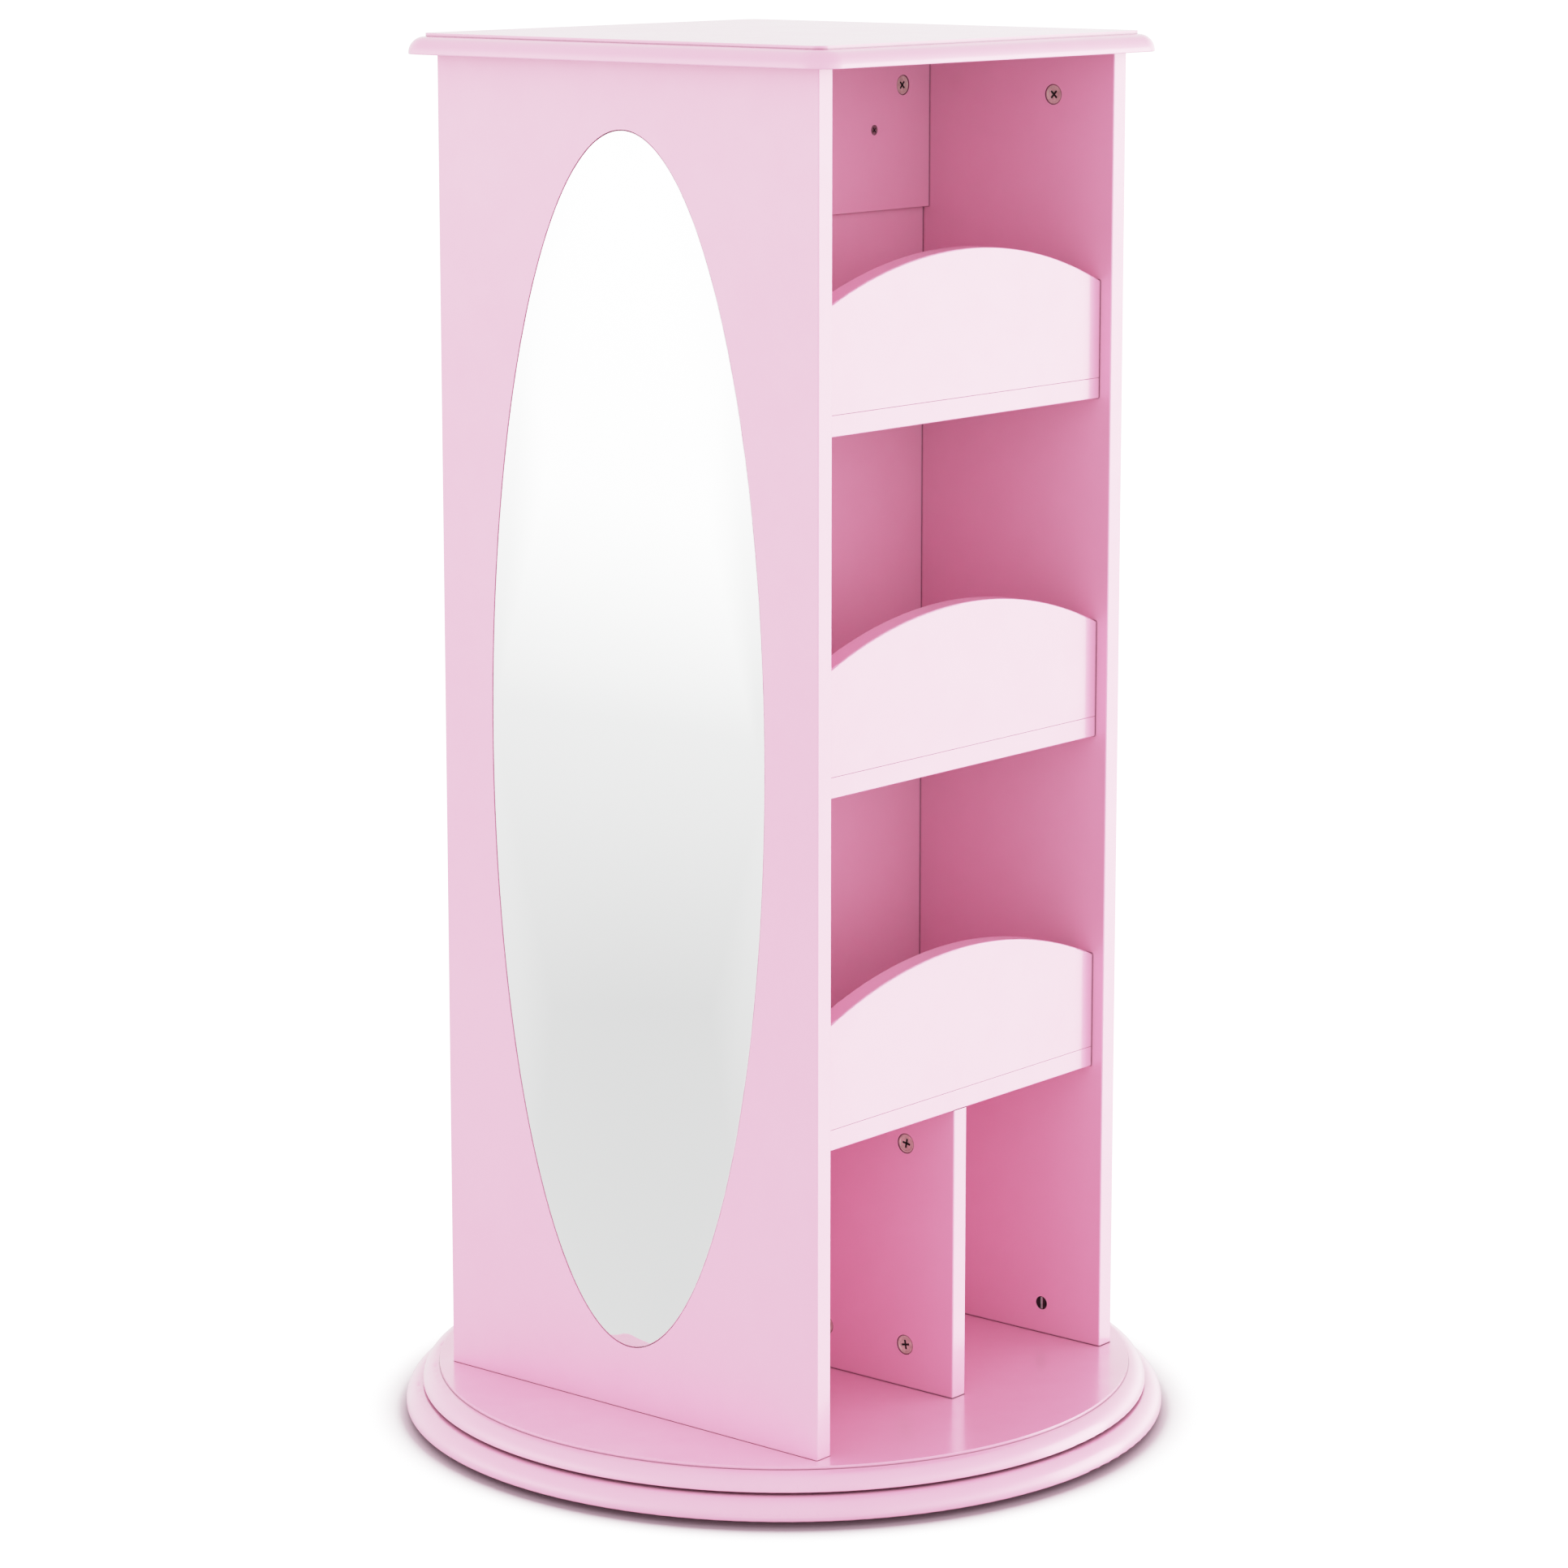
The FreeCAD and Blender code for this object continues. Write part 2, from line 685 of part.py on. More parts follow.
def side_panel(side):
    """Side panel with eased long edges and the holes for all that joins it."""
    faces = sorted((side * inner_half_width, side * half_width))
    blank = slab(*faces, -half_depth, half_depth, turntable_top, column_top)
    corners = [(x, y) for x in faces for y in (-half_depth, half_depth)]
    blank = blank.makeFillet(edge_ease, [edges_at(blank, x=x, y=y)[0] for x, y in corners])
    blank = blank.makeFillet(foot_ease, edges_at(blank, z=turntable_top))
    groove = sorted((side * inner_half_width, side * (inner_half_width + groove_depth)))
    cuts = [slab(*groove, -groove_half_width, groove_half_width, turntable_top, rail_bottom + groove_depth)]
    cuts += cam_shapes(cam_bore(), top_cams(side))
    cuts += barrel_shapes(barrel_hole(), side)
    cuts += [placed(connector_hole(), at) for at in connector_places() if at[0] * side > 0]
    cuts += cam_shapes(cam_thread_hole(), [cam for cam in rail_cams() if cam[1].x * side > 0])
    for index in range(len(shelf_names)):
        cams = [cam for cam in shelf_cams(shelf_underside(index)) if cam[1].x * side > 0]
        cuts += cam_shapes(cam_thread_hole(), cams)
    end_dowels = [place for place in turntable_dowels() + top_dowels() if place[0][0] * side > 0]
    cuts += dowel_shapes(dowel_hole(), side_dowels(side) + end_dowels)
    return blank.cut(cuts)


def oval(face_x, width, height, depth):
    """Upright oval block that goes in from face_x towards +X."""
    top = FreeCAD.Vector(face_x, 0, mirror_level + height / 2)
    rim = FreeCAD.Vector(face_x, width / 2, mirror_level)
    curve = Part.Ellipse(top, rim, FreeCAD.Vector(face_x, 0, mirror_level))
    return Part.Face(Part.Wire(curve.toShape())).extrude(FreeCAD.Vector(depth, 0, 0))


def mirror_side_panel():
    width = mirror_width + 2 * mirror_gap
    height = mirror_height + 2 * mirror_gap
    return side_panel(-1).cut(oval(-half_width, width, height, mirror_pocket_depth))


def oval_mirror():
    return oval(-half_width + mirror_sink, mirror_width, mirror_height, mirror_thickness)


def mirror_tape():
    """Foam tape strips between the mirror and the floor of its pocket."""
    back = -half_width + mirror_sink + mirror_thickness
    strips = []
    for index in range(tape_count):
        middle = (index - (tape_count - 1) / 2) * tape_pitch
        strips.append(slab(back, back + tape_thickness, middle - tape_width / 2, middle + tape_width / 2,
                           mirror_level - tape_length / 2, mirror_level + tape_length / 2))
    return strips


def centre_rail():
    blank = slab(-inner_half_width, inner_half_width, -rail_face, rail_face, rail_bottom, column_top)
    low_edges = edges_at(blank, y=-rail_face, z=rail_bottom) + edges_at(blank, y=rail_face, z=rail_bottom)
    blank = blank.makeFillet(seam_ease, low_edges)
    cuts = [slab(-inner_half_width, inner_half_width, -groove_half_width, groove_half_width,
                 rail_bottom, rail_bottom + groove_depth)]
    cuts += cam_shapes(cam_bore(), rail_cams())
    cuts += dowel_shapes(dowel_hole(), [side_dowels(-1)[0], side_dowels(1)[0]])
    cuts += dowel_shapes(dowel_hole(), [place for place in top_dowels() if place[0][1] == 0])
    cuts += [peg_screw_shape(long_screw_hole(), side) for side in peg_sides.values()]
    return blank.cut(cuts)


def centre_panel():
    reach = inner_half_width + groove_depth - groove_end_gap
    half = panel_thickness / 2
    return slab(-reach, reach, -half, half, turntable_top, rail_bottom + groove_depth - groove_end_gap)


def board_ends(blank):
    """Upright front edges of a board that runs from one side panel to the other."""
    return [edge for x in (-inner_half_width, inner_half_width) for edge in edges_at(blank, x=x, y=shelf_front)]


def shelf(index):
    low = shelf_underside(index)
    high = low + board
    blank = slab(-inner_half_width, inner_half_width, shelf_front, shelf_back, low, high)
    blank = blank.makeFillet(edge_ease, edges_at(blank, y=shelf_front, z=low))
    blank = blank.makeFillet(seam_ease, board_ends(blank) + edges_at(blank, y=shelf_front, z=high))
    cuts = cam_shapes(cam_bore(), shelf_cams(low))
    cuts += dowel_shapes(dowel_hole(), [side_dowels(side)[index + 1] for side in (-1, 1)])
    cuts += front_screw_shapes(long_screw_hole(), index)
    if index == 0:
        cuts += cam_shapes(cam_thread_hole(), divider_cams())
    return blank.cut(cuts)


def front_board(index):
    """Board that stands on a shelf, with an arched top edge."""
    foot = shelf_underside(index) + board
    ends = foot + arch_end_height
    crown = ends + arch_rise
    half = inner_half_width
    front = shelf_front
    outline = [line((-half, front, foot), (half, front, foot)),
               line((half, front, foot), (half, front, ends)),
               arc((half, front, ends), (0, front, crown), (-half, front, ends)),
               line((-half, front, ends), (-half, front, foot))]
    blank = Part.Face(Part.Wire(outline)).extrude(FreeCAD.Vector(0, board, 0))
    arch = [edge for edge in blank.Edges if isinstance(edge.Curve, Part.Circle)]
    blank = blank.makeFillet(edge_ease, arch)
    seam = edges_at(blank, y=front, z=foot) + edges_at(blank, y=front + board, z=foot)
    blank = blank.makeFillet(seam_ease, board_ends(blank) + seam)
    return blank.cut(front_screw_shapes(long_screw_hole(), index))


def cubby_divider():
    half = board / 2
    top = turntable_top + cubby_height
    blank = slab(-half, half, shelf_front, shelf_back, turntable_top, top)
    front_edges = edges_at(blank, x=-half, y=shelf_front) + edges_at(blank, x=half, y=shelf_front)
    blank = blank.makeFillet(edge_ease, front_edges)
    blank = blank.makeFillet(foot_ease, edges_at(blank, z=turntable_top))
    return blank.cut(cam_shapes(cam_bore(), divider_cams()))


# Coat pegs

def coat_peg(side):
    """Turned peg with a round foot, a waisted neck and a domed head."""
    shoulder = peg_length - peg_head_height
    waist = (peg_foot_height + shoulder) / 2
    outline = [line((0, 0, 0), (peg_foot_radius, 0, 0)),
               line((peg_foot_radius, 0, 0), (peg_foot_radius, 0, peg_foot_height)),
               arc((peg_foot_radius, 0, peg_foot_height), (peg_neck_radius, 0, waist),
                   (peg_head_radius, 0, shoulder)),
               arc((peg_head_radius, 0, shoulder),
                   (peg_head_radius * math.sqrt(0.5), 0, shoulder + peg_head_height * math.sqrt(0.5)),
                   (0, 0, peg_length)),
               line((0, 0, peg_length), (0, 0, 0))]
    peg = placed(turned(outline), (side * peg_pitch, rail_face, pegs_level), axis_x, axis_y)
    return peg.cut(peg_screw_shape(long_screw_hole(), side))


def front_board_screws():
    screws = []
    for index in range(len(shelf_names)):
        screws += front_screw_shapes(long_screw(), index)
    return screws


def coat_peg_screws():
    return [peg_screw_shape(long_screw(), side) for side in peg_sides.values()]


def build():
    nodes = {
        "glide_screws": glide_screws(),
        "base_disc": base_disc(),
        "lower_bearing_race": lower_bearing_race(),
        "lower_race_screws": lower_race_screws(),
        "ball_cage": ball_cage(),
        "bearing_balls": bearing_balls(),
        "upper_bearing_race": upper_bearing_race(),
        "upper_race_screws": upper_race_screws(),
        "turntable_disc": turntable_disc(),
        "turntable_bolts": [placed(connector_bolt(), at) for at in connector_places()],
        "barrel_nuts": barrel_shapes(barrel_nut(), -1) + barrel_shapes(barrel_nut(), 1),
        "mirror_side_panel": mirror_side_panel(),
        "oval_mirror": oval_mirror(),
        "mirror_tape": mirror_tape(),
        "plain_side_panel": side_panel(1),
        "centre_rail": centre_rail(),
        "centre_panel": centre_panel(),
        "cubby_divider": cubby_divider(),
        "top_board": top_board(),
        "cam_locks": cam_shapes(cam_lock(), all_cams()),
        "cam_bolts": cam_shapes(cam_bolt(), all_cams()),
        "wooden_dowels": dowel_shapes(dowel(), all_dowels()),
        "front_board_screws": front_board_screws(),
        "coat_peg_screws": coat_peg_screws(),
    }
    for number, glide in enumerate(floor_glides(), start=1):
        nodes[f"floor_glide_{number}"] = glide
    for index, name in enumerate(shelf_names):
        nodes[f"{name}_shelf"] = shelf(index)
        nodes[f"{name}_front_board"] = front_board(index)
    for name, side in peg_sides.items():
        nodes[f"{name}_coat_peg"] = coat_peg(side)
    return nodes


def save(nodes):
    os.makedirs("parts", exist_ok=True)
    for name, shape in nodes.items():
        solids = shape if isinstance(shape, list) else [shape]
        Part.makeCompound(solids).exportStep(f"parts/{name}.step")
        print(name, len(solids), all(solid.isValid() for solid in solids))


save(build())
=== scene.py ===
import json
from math import radians, sin, tau

import bmesh
import bpy
from mathutils import Matrix, Vector


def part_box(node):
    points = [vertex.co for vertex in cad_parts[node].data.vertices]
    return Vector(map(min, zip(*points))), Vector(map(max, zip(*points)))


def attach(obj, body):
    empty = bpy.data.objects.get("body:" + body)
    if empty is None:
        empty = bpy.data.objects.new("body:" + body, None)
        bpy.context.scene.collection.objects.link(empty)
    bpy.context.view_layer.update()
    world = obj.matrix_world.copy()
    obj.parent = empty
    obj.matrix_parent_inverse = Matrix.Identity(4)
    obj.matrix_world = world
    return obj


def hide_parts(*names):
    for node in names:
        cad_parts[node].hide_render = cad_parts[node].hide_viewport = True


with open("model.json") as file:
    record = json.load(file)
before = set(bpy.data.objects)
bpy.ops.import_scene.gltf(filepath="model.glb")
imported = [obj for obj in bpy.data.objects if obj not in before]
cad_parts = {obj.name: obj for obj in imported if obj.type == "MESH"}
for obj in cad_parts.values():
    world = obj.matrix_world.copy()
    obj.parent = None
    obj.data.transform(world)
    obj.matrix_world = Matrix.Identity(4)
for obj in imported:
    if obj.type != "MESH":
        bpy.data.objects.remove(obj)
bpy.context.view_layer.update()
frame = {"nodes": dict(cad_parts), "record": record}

nodes = frame["nodes"]
slotOf = {part["node"]: part["material_slot"] for part in frame["record"]["subparts"]}
mm = 0.001
touch = 0.001  # mm within which corners and faces count as level


# Shader maths: a Wire is one socket, and plain Python sums on it add Math nodes
class Wire:
    def __init__(self, finish, socket):
        self.finish = finish
        self.socket = socket

    def work(self, operation, first, second):
        return self.finish.add("ShaderNodeMath", {"operation": operation}, {0: first, 1: second})

    def __add__(self, other):
        return self.work("ADD", self, other)

    def __radd__(self, other):
        return self.work("ADD", other, self)

    def __sub__(self, other):
        return self.work("SUBTRACT", self, other)

    def __rsub__(self, other):
        return self.work("SUBTRACT", other, self)

    def __mul__(self, other):
        return self.work("MULTIPLY", self, other)

    def __rmul__(self, other):
        return self.work("MULTIPLY", other, self)


# A Finish is one material, or the world, while its nodes are being wired up
class Finish:
    def __init__(self, name, kind="materials", surface="Principled BSDF"):
        self.material = getattr(bpy.data, kind).new(name)
        self.material.use_nodes = True
        self.tree = self.material.node_tree
        self.surface = self.tree.nodes[surface]

    def add(self, kind, settings=None, inputs=None, output=0):
        node = self.tree.nodes.new(kind)
        for key, value in (settings or {}).items():
            if key == "stops":
                self.setStops(node.color_ramp, value)
            else:
                setattr(node, key, value)
        for key, value in (inputs or {}).items():
            self.plug(self.pick(node.inputs, key), value)
        return Wire(self, self.pick(node.outputs, output))

    def setStops(self, ramp, stops):
        while len(ramp.elements) < len(stops):
            ramp.elements.new(1.0)
        for element, (place, colour) in zip(ramp.elements, stops):
            element.position = place
            element.color = colour

    def pick(self, sockets, key):  # by its number, or the first that has its name
        if isinstance(key, int):
            return sockets[key]
        return next(socket for socket in sockets if key in (socket.identifier, socket.name))

    def plug(self, socket, value):
        if isinstance(value, Wire):
            self.tree.links.new(value.socket, socket)
        else:
            socket.default_value = value

    def place(self, scale=(1, 1, 1), shift=(0, 0, 0)):  # where on the object, stretched and moved
        where = self.add("ShaderNodeTexCoord", output="Object")
        return self.add("ShaderNodeMapping", {}, {"Vector": where, "Scale": scale, "Location": shift})

    def noise(self, where, scale, detail=2.0, roughness=0.5, distortion=0.0):
        return self.add("ShaderNodeTexNoise", {}, {
            "Vector": where, "Scale": scale, "Detail": detail, "Roughness": roughness,
            "Distortion": distortion})

    def span(self, value, low, high, toLow=0.0, toHigh=1.0):
        return self.add("ShaderNodeMapRange", {"clamp": True}, {
            "Value": value, "From Min": low, "From Max": high, "To Min": toLow, "To Max": toHigh})

    def mixed(self, first, second, share):  # a share of the first, and the rest of the second
        return first * share + second * (1 - share)

    def length(self, vector):
        return self.add("ShaderNodeVectorMath", {"operation": "LENGTH"}, {0: vector}, output="Value")

    def dot(self, first, second):
        return self.add("ShaderNodeVectorMath", {"operation": "DOT_PRODUCT"}, {0: first, 1: second},
                        output="Value")

    def ramp(self, factor, stops):
        return self.add("ShaderNodeValToRGB", {"stops": stops}, {"Fac": factor})

    def blend(self, share, first, second):
        return self.add("ShaderNodeMix", {"data_type": "RGBA"}, {
            "Factor_Float": share, "A_Color": first, "B_Color": second}, output="Result_Color")

    def bump(self, height, depth):  # depth in mm
        return self.add("ShaderNodeBump", {}, {"Height": height, "Distance": depth * mm})

    def done(self, **sockets):
        for key, value in sockets.items():
            self.plug(self.surface.inputs[key.replace("_", " ")], value)
        return self.material


def rgb(code):
    parts = [int(code[at:at + 2], 16) / 255 for at in (0, 2, 4)]
    return (*[part / 12.92 if part <= 0.04045 else ((part + 0.055) / 1.055) ** 2.4 for part in parts], 1.0)


# In the dictionaries of the materials a noise is its size, detail and roughness, a span is where it begins
# and ends, and depths are in mm.

# Satin lacquer on every painted board: faint orange peel, slow shifts of tone, edges rubbed a little paler,
# and painted shade in the joints and gaps, darker where a spot is closed in. Each painted shade has its
# reach in mm, how open a spot is where it is full and where it ends, and its colour.
pinkPaint = dict(
    colour=(0.88, 0.40, 0.59), deeper=(0.865, 0.38, 0.57), clouds=(4.0, 3.0, 0.55), mottle=(38.0, 3.0, 0.6),
    cloudShare=0.7, tone=(0.38, 0.62), peelSize=420, peelDepth=0.010,
    roughness=0.36, roughnessPlay=0.05, satin=(0.35, 0.65), coat=0.9, coatIor=1.6, coatRoughness=0.16,
    edge=(0.90, 0.50, 0.66), edgeReach=1.6, edgeTurn=(0.01, 0.16), edgePatches=(0.35, 0.6),
    edgeLeast=0.3, edgeShare=0.55, edgePolish=0.06,
    shades=[(1.3, 0.62, 0.97, (0.27, 0.08, 0.145)), (4.5, 0.05, 0.42, (0.13, 0.025, 0.055))],
    shadeShare=0.9)


def makePinkPaint(name, shades):
    paint = Finish(name)
    where = paint.place()
    clouds = paint.noise(where, *pinkPaint["clouds"])
    mottle = paint.noise(where, *pinkPaint["mottle"])
    peel = paint.noise(where, pinkPaint["peelSize"])
    tone = paint.span(paint.mixed(clouds, mottle, pinkPaint["cloudShare"]), *pinkPaint["tone"])
    colour = paint.blend(tone, (*pinkPaint["colour"], 1), (*pinkPaint["deeper"], 1))

    rounded = paint.add("ShaderNodeBevel", {"samples": 4}, {"Radius": pinkPaint["edgeReach"] * mm})
    flat = paint.add("ShaderNodeNewGeometry", output="Normal")
    turned = 1 - paint.dot(rounded, flat)
    patches = paint.span(mottle, *pinkPaint["edgePatches"], pinkPaint["edgeLeast"], 1.0)
    rubbed = paint.span(turned, *pinkPaint["edgeTurn"]) * patches
    colour = paint.blend(rubbed * pinkPaint["edgeShare"], colour, (*pinkPaint["edge"], 1))

    # painted shade: each pass darkens the colour towards its shade where a spot is closed in, in corners,
    # seams and the gap between the discs
    for reach, full, end, shade in shades:
        openness = paint.add("ShaderNodeAmbientOcclusion", {"samples": 5}, {"Distance": reach * mm}, "AO")
        share = paint.span(openness, full, end, pinkPaint["shadeShare"], 0.0)
        colour = paint.blend(share, colour, (*shade, 1))

    low = pinkPaint["roughness"] - pinkPaint["roughnessPlay"]
    high = pinkPaint["roughness"] + pinkPaint["roughnessPlay"]
    satin = paint.span(paint.mixed(clouds, mottle, 0.5), *pinkPaint["satin"], low, high)
    return paint.done(
        Base_Color=colour,
        Roughness=satin - rubbed * pinkPaint["edgePolish"],
        Normal=paint.bump(peel, pinkPaint["peelDepth"]),
        Coat_Weight=pinkPaint["coat"],
        Coat_IOR=pinkPaint["coatIor"],
        Coat_Roughness=pinkPaint["coatRoughness"],
    )


# Metal with a grain: tone and roughness wander, and the finest noise roughens the face
metalGrain = dict(detail=4.0, roughness=0.6, clouds=(0.32, 0.68), finer=14, polish=(0.2, 0.8), least=0.7,
                  most=1.3)


def makeMetal(name, light, dark, roughness, grain=90.0, metallic=1.0, depth=0.02):
    metal = Finish(name)
    where = metal.place()
    clouds = metal.span(metal.noise(where, grain, metalGrain["detail"], metalGrain["roughness"]),
                        *metalGrain["clouds"])
    fine = metal.noise(where, grain * metalGrain["finer"])
    least = roughness * metalGrain["least"]
    most = roughness * metalGrain["most"]
    return metal.done(
        Base_Color=metal.blend(clouds, rgb(light), rgb(dark)),
        Metallic=metallic,
        Roughness=metal.span(metal.mixed(fine, clouds, 0.5), *metalGrain["polish"], least, most),
        Normal=metal.bump(fine, depth),
    )


# Steel that was turned on a lathe: rings round the turning axis
turnedSteel = dict(light="C4C7CB", dark="A3A7AD", ringSize=2600.0, ringDetail=3.0, clouds=(40.0, 3.0, 0.6),
                   ringShare=0.6, tone=(0.35, 0.65), roughness=0.3, polish=(0.3, 0.7), least=0.75, most=1.3,
                   depth=0.01)


def makeTurnedSteel():
    steel = Finish("raceSteel")
    where = steel.place((1, 1, 0))
    rings = steel.add("ShaderNodeTexNoise", {"noise_dimensions": "1D"}, {
        "W": steel.length(where), "Scale": turnedSteel["ringSize"], "Detail": turnedSteel["ringDetail"]})
    clouds = steel.noise(where, *turnedSteel["clouds"])
    tone = steel.span(steel.mixed(rings, clouds, turnedSteel["ringShare"]), *turnedSteel["tone"])
    least = turnedSteel["roughness"] * turnedSteel["least"]
    most = turnedSteel["roughness"] * turnedSteel["most"]
    return steel.done(
        Base_Color=steel.blend(tone, rgb(turnedSteel["light"]), rgb(turnedSteel["dark"])),
        Metallic=1.0,
        Roughness=steel.span(rings, *turnedSteel["polish"], least, most),
        Normal=steel.bump(rings, turnedSteel["depth"]),
    )


# Moulded plastic with a fine spark-eroded grain
mouldedPlastic = dict(clouds=(45.0, 3.0, 0.55), tone=(0.35, 0.65), grain=(1900.0, 2.0, 0.6), grainShare=0.6,
                      dullness=(0.3, 0.7), roughnessPlay=0.08, depth=0.03)


def makePlastic(name, light, dark, roughness):
    plastic = Finish(name)
    where = plastic.place()
    clouds = plastic.span(plastic.noise(where, *mouldedPlastic["clouds"]), *mouldedPlastic["tone"])
    grain = plastic.noise(where, *mouldedPlastic["grain"])
    dull = plastic.mixed(grain, clouds, mouldedPlastic["grainShare"])
    low = roughness - mouldedPlastic["roughnessPlay"]
    high = roughness + mouldedPlastic["roughnessPlay"]
    return plastic.done(
        Base_Color=plastic.blend(clouds, rgb(light), rgb(dark)),
        Roughness=plastic.span(dull, *mouldedPlastic["dullness"], low, high),
        Normal=plastic.bump(grain, mouldedPlastic["depth"]),
    )


# Beech for the dowels: short flecks drawn out along the grain
plainWood = dict(light="E0C296", dark="C99F6E", fleck="9C6F45", stretch=(1, 1, 0.12),
                 grain=(320.0, 4.0, 0.65), waver=0.4, tone=(0.3, 0.7), roughness=(0.6, 0.78),
                 fleckSize=900.0, flecks=(0.58, 0.7), fleckShare=0.6, depth=0.05)


def makePlainWood():
    wood = Finish("plainWood")
    where = wood.place(plainWood["stretch"])
    grain = wood.noise(where, *plainWood["grain"], plainWood["waver"])
    flecks = wood.span(wood.noise(where, plainWood["fleckSize"]), *plainWood["flecks"],
                       0.0, plainWood["fleckShare"])
    tone = wood.span(grain, *plainWood["tone"])
    colour = wood.blend(tone, rgb(plainWood["light"]), rgb(plainWood["dark"]))
    return wood.done(
        Base_Color=wood.blend(flecks, colour, rgb(plainWood["fleck"])),
        Roughness=wood.span(grain, *plainWood["tone"], *plainWood["roughness"]),
        Normal=wood.bump(grain, plainWood["depth"]),
    )


# Foam tape: open cells all over its edge and face
foamTape = dict(hollow="F2F0EA", wall="CFCBC2", cellSize=1500.0, tone=(0.1, 0.6), roughness=(0.75, 0.9),
                depth=0.15)


def makeFoamTape():
    foam = Finish("foamTape")
    cells = foam.add("ShaderNodeTexVoronoi", {"feature": "F1"}, {
        "Vector": foam.place(), "Scale": foamTape["cellSize"]}, output="Distance")
    tone = foam.span(cells, *foamTape["tone"])
    return foam.done(
        Base_Color=foam.blend(tone, rgb(foamTape["hollow"]), rgb(foamTape["wall"])),
        Roughness=foam.span(cells, *foamTape["tone"], *foamTape["roughness"]),
        Normal=foam.bump(cells, foamTape["depth"]),
    )


# Silvered glass: hardly a tint, and a ripple too slow to see head-on
mirrorSilver = dict(light="FAFAFA", dark="F3F5F4", cloudSize=2.2, polish=(0.3, 0.7),
                    roughness=(0.015, 0.035), rippleSize=9.0, rippleDetail=1.0, rippleDepth=0.004)


def makeMirrorSilver():
    silver = Finish("mirrorSilver")
    where = silver.place()
    clouds = silver.noise(where, mirrorSilver["cloudSize"])
    ripple = silver.noise(where, mirrorSilver["rippleSize"], mirrorSilver["rippleDetail"])
    return silver.done(
        Base_Color=silver.blend(clouds, rgb(mirrorSilver["dark"]), rgb(mirrorSilver["light"])),
        Metallic=1.0,
        Roughness=silver.span(clouds, *mirrorSilver["polish"], *mirrorSilver["roughness"]),
        Normal=silver.bump(ripple, mirrorSilver["rippleDepth"]),
    )


finishes = {
    "pink_paint": makePinkPaint("pinkPaint", pinkPaint["shades"]),
    "mirror_glass": makeMirrorSilver(),
    "foam_tape": makeFoamTape(),
    "plain_wood": makePlainWood(),
    "glide_plastic": makePlastic("glidePlastic", "3E3E41", "2C2C2F", 0.5),
    "cage_plastic": makePlastic("cagePlastic", "ECE8DD", "D9D3C5", 0.42),
    "ball_steel": makeMetal("ballSteel", "DCDEE1", "C6C9CD", 0.10, grain=200.0, depth=0.002),
    "race_steel": makeTurnedSteel(),
    "zinc_steel": makeMetal("zincSteel", "D2D3CF", "A9ADAE", 0.3, grain=160.0),
    "cam_zinc": makeMetal("camZinc", "E0CFC8", "BDA79F", 0.42, grain=260.0, metallic=0.35, depth=0.03),
    "dark_steel": makeMetal("darkSteel", "3A3537", "211D1F", 0.38, grain=220.0, metallic=0.8),
}
groundGlass = makeMetal("groundGlass", "FBF5F8", "EFE8EC", 0.3, grain=120.0, depth=0.005)
# Painted shade: a near-black finish for the floors and walls of the sunk crosses in the cams and screws
recessShade = makeMetal("recessShade", "17100F", "0B0707", 0.85, grain=300.0, metallic=0.0)
# Painted shade: a darker pink-brown for the cam edges that lie down in their bores
boreShade = makeMetal("boreShade", "B98A92", "9A6873", 0.6, grain=300.0, metallic=0.0)
# Partly bare metal and partly painted highlight: a light finish in the barrel nuts' slots, brighter than
# their dark faces, where the slots catch light
slotSteel = makeMetal("slotSteel", "C4BCBE", "9A9395", 0.45, grain=220.0, metallic=0.3)
screwBronze = makeMetal("screwBronze", "93737B", "644A52", 0.4, grain=220.0, metallic=0.6)
pocketPaint = makePinkPaint("pocketPaint", [])  # the mirror side panel has no painted shade in its joints, so the mirror's pocket stays light right down its side
for name, node in nodes.items():
    node.data.materials.clear()
    node.data.materials.append(pocketPaint if name == "mirror_side_panel" else finishes[slotOf[name]])
print("finishes on", len(nodes), "nodes")


# Small pieces are worked in millimetres, each with its face at its own origin and looking up
def lathe(profile, steps):
    bm = bmesh.new()
    corners = [bm.verts.new((out, 0, up)) for out, up in profile]
    runs = [bm.edges.new(pair) for pair in zip(corners, corners[1:])]
    bmesh.ops.spin(bm, geom=corners + runs, cent=(0, 0, 0), axis=(0, 0, 1), dvec=(0, 0, 0), angle=tau,
                   steps=steps, use_merge=True)
    bmesh.ops.remove_doubles(bm, verts=bm.verts[:], dist=touch / 2)
    bmesh.ops.holes_fill(bm, edges=[edge for edge in bm.edges if edge.is_boundary], sides=0)
    bmesh.ops.recalc_face_normals(bm, faces=bm.faces[:])
    return bm


# A length of ring, with its middle turned from +X
def ringLength(bm, inner, outer, low, high, middle, sweep, steps):
    corners = ((inner, low), (outer, low), (outer, high), (inner, high))
    face = bm.faces.new([bm.verts.new((out, 0, up)) for out, up in corners])
    start = list(face.verts)
    bmesh.ops.rotate(bm, verts=start, cent=(0, 0, 0),
                     matrix=Matrix.Rotation(radians(middle - sweep / 2), 3, "Z"))
    bmesh.ops.spin(bm, geom=[face, *face.edges, *start], cent=(0, 0, 0), axis=(0, 0, 1), dvec=(0, 0, 0),
                   angle=radians(sweep), steps=steps, use_merge=False)


def cornersIn(parts):
    return [part for part in parts if isinstance(part, bmesh.types.BMVert)]


def raiseFaces(bm, faces, height):  # a lone face stays behind as the floor of its solid
    raised = bmesh.ops.extrude_face_region(bm, geom=faces)
    bmesh.ops.translate(bm, verts=cornersIn(raised["geom"]), vec=(0, 0, height))


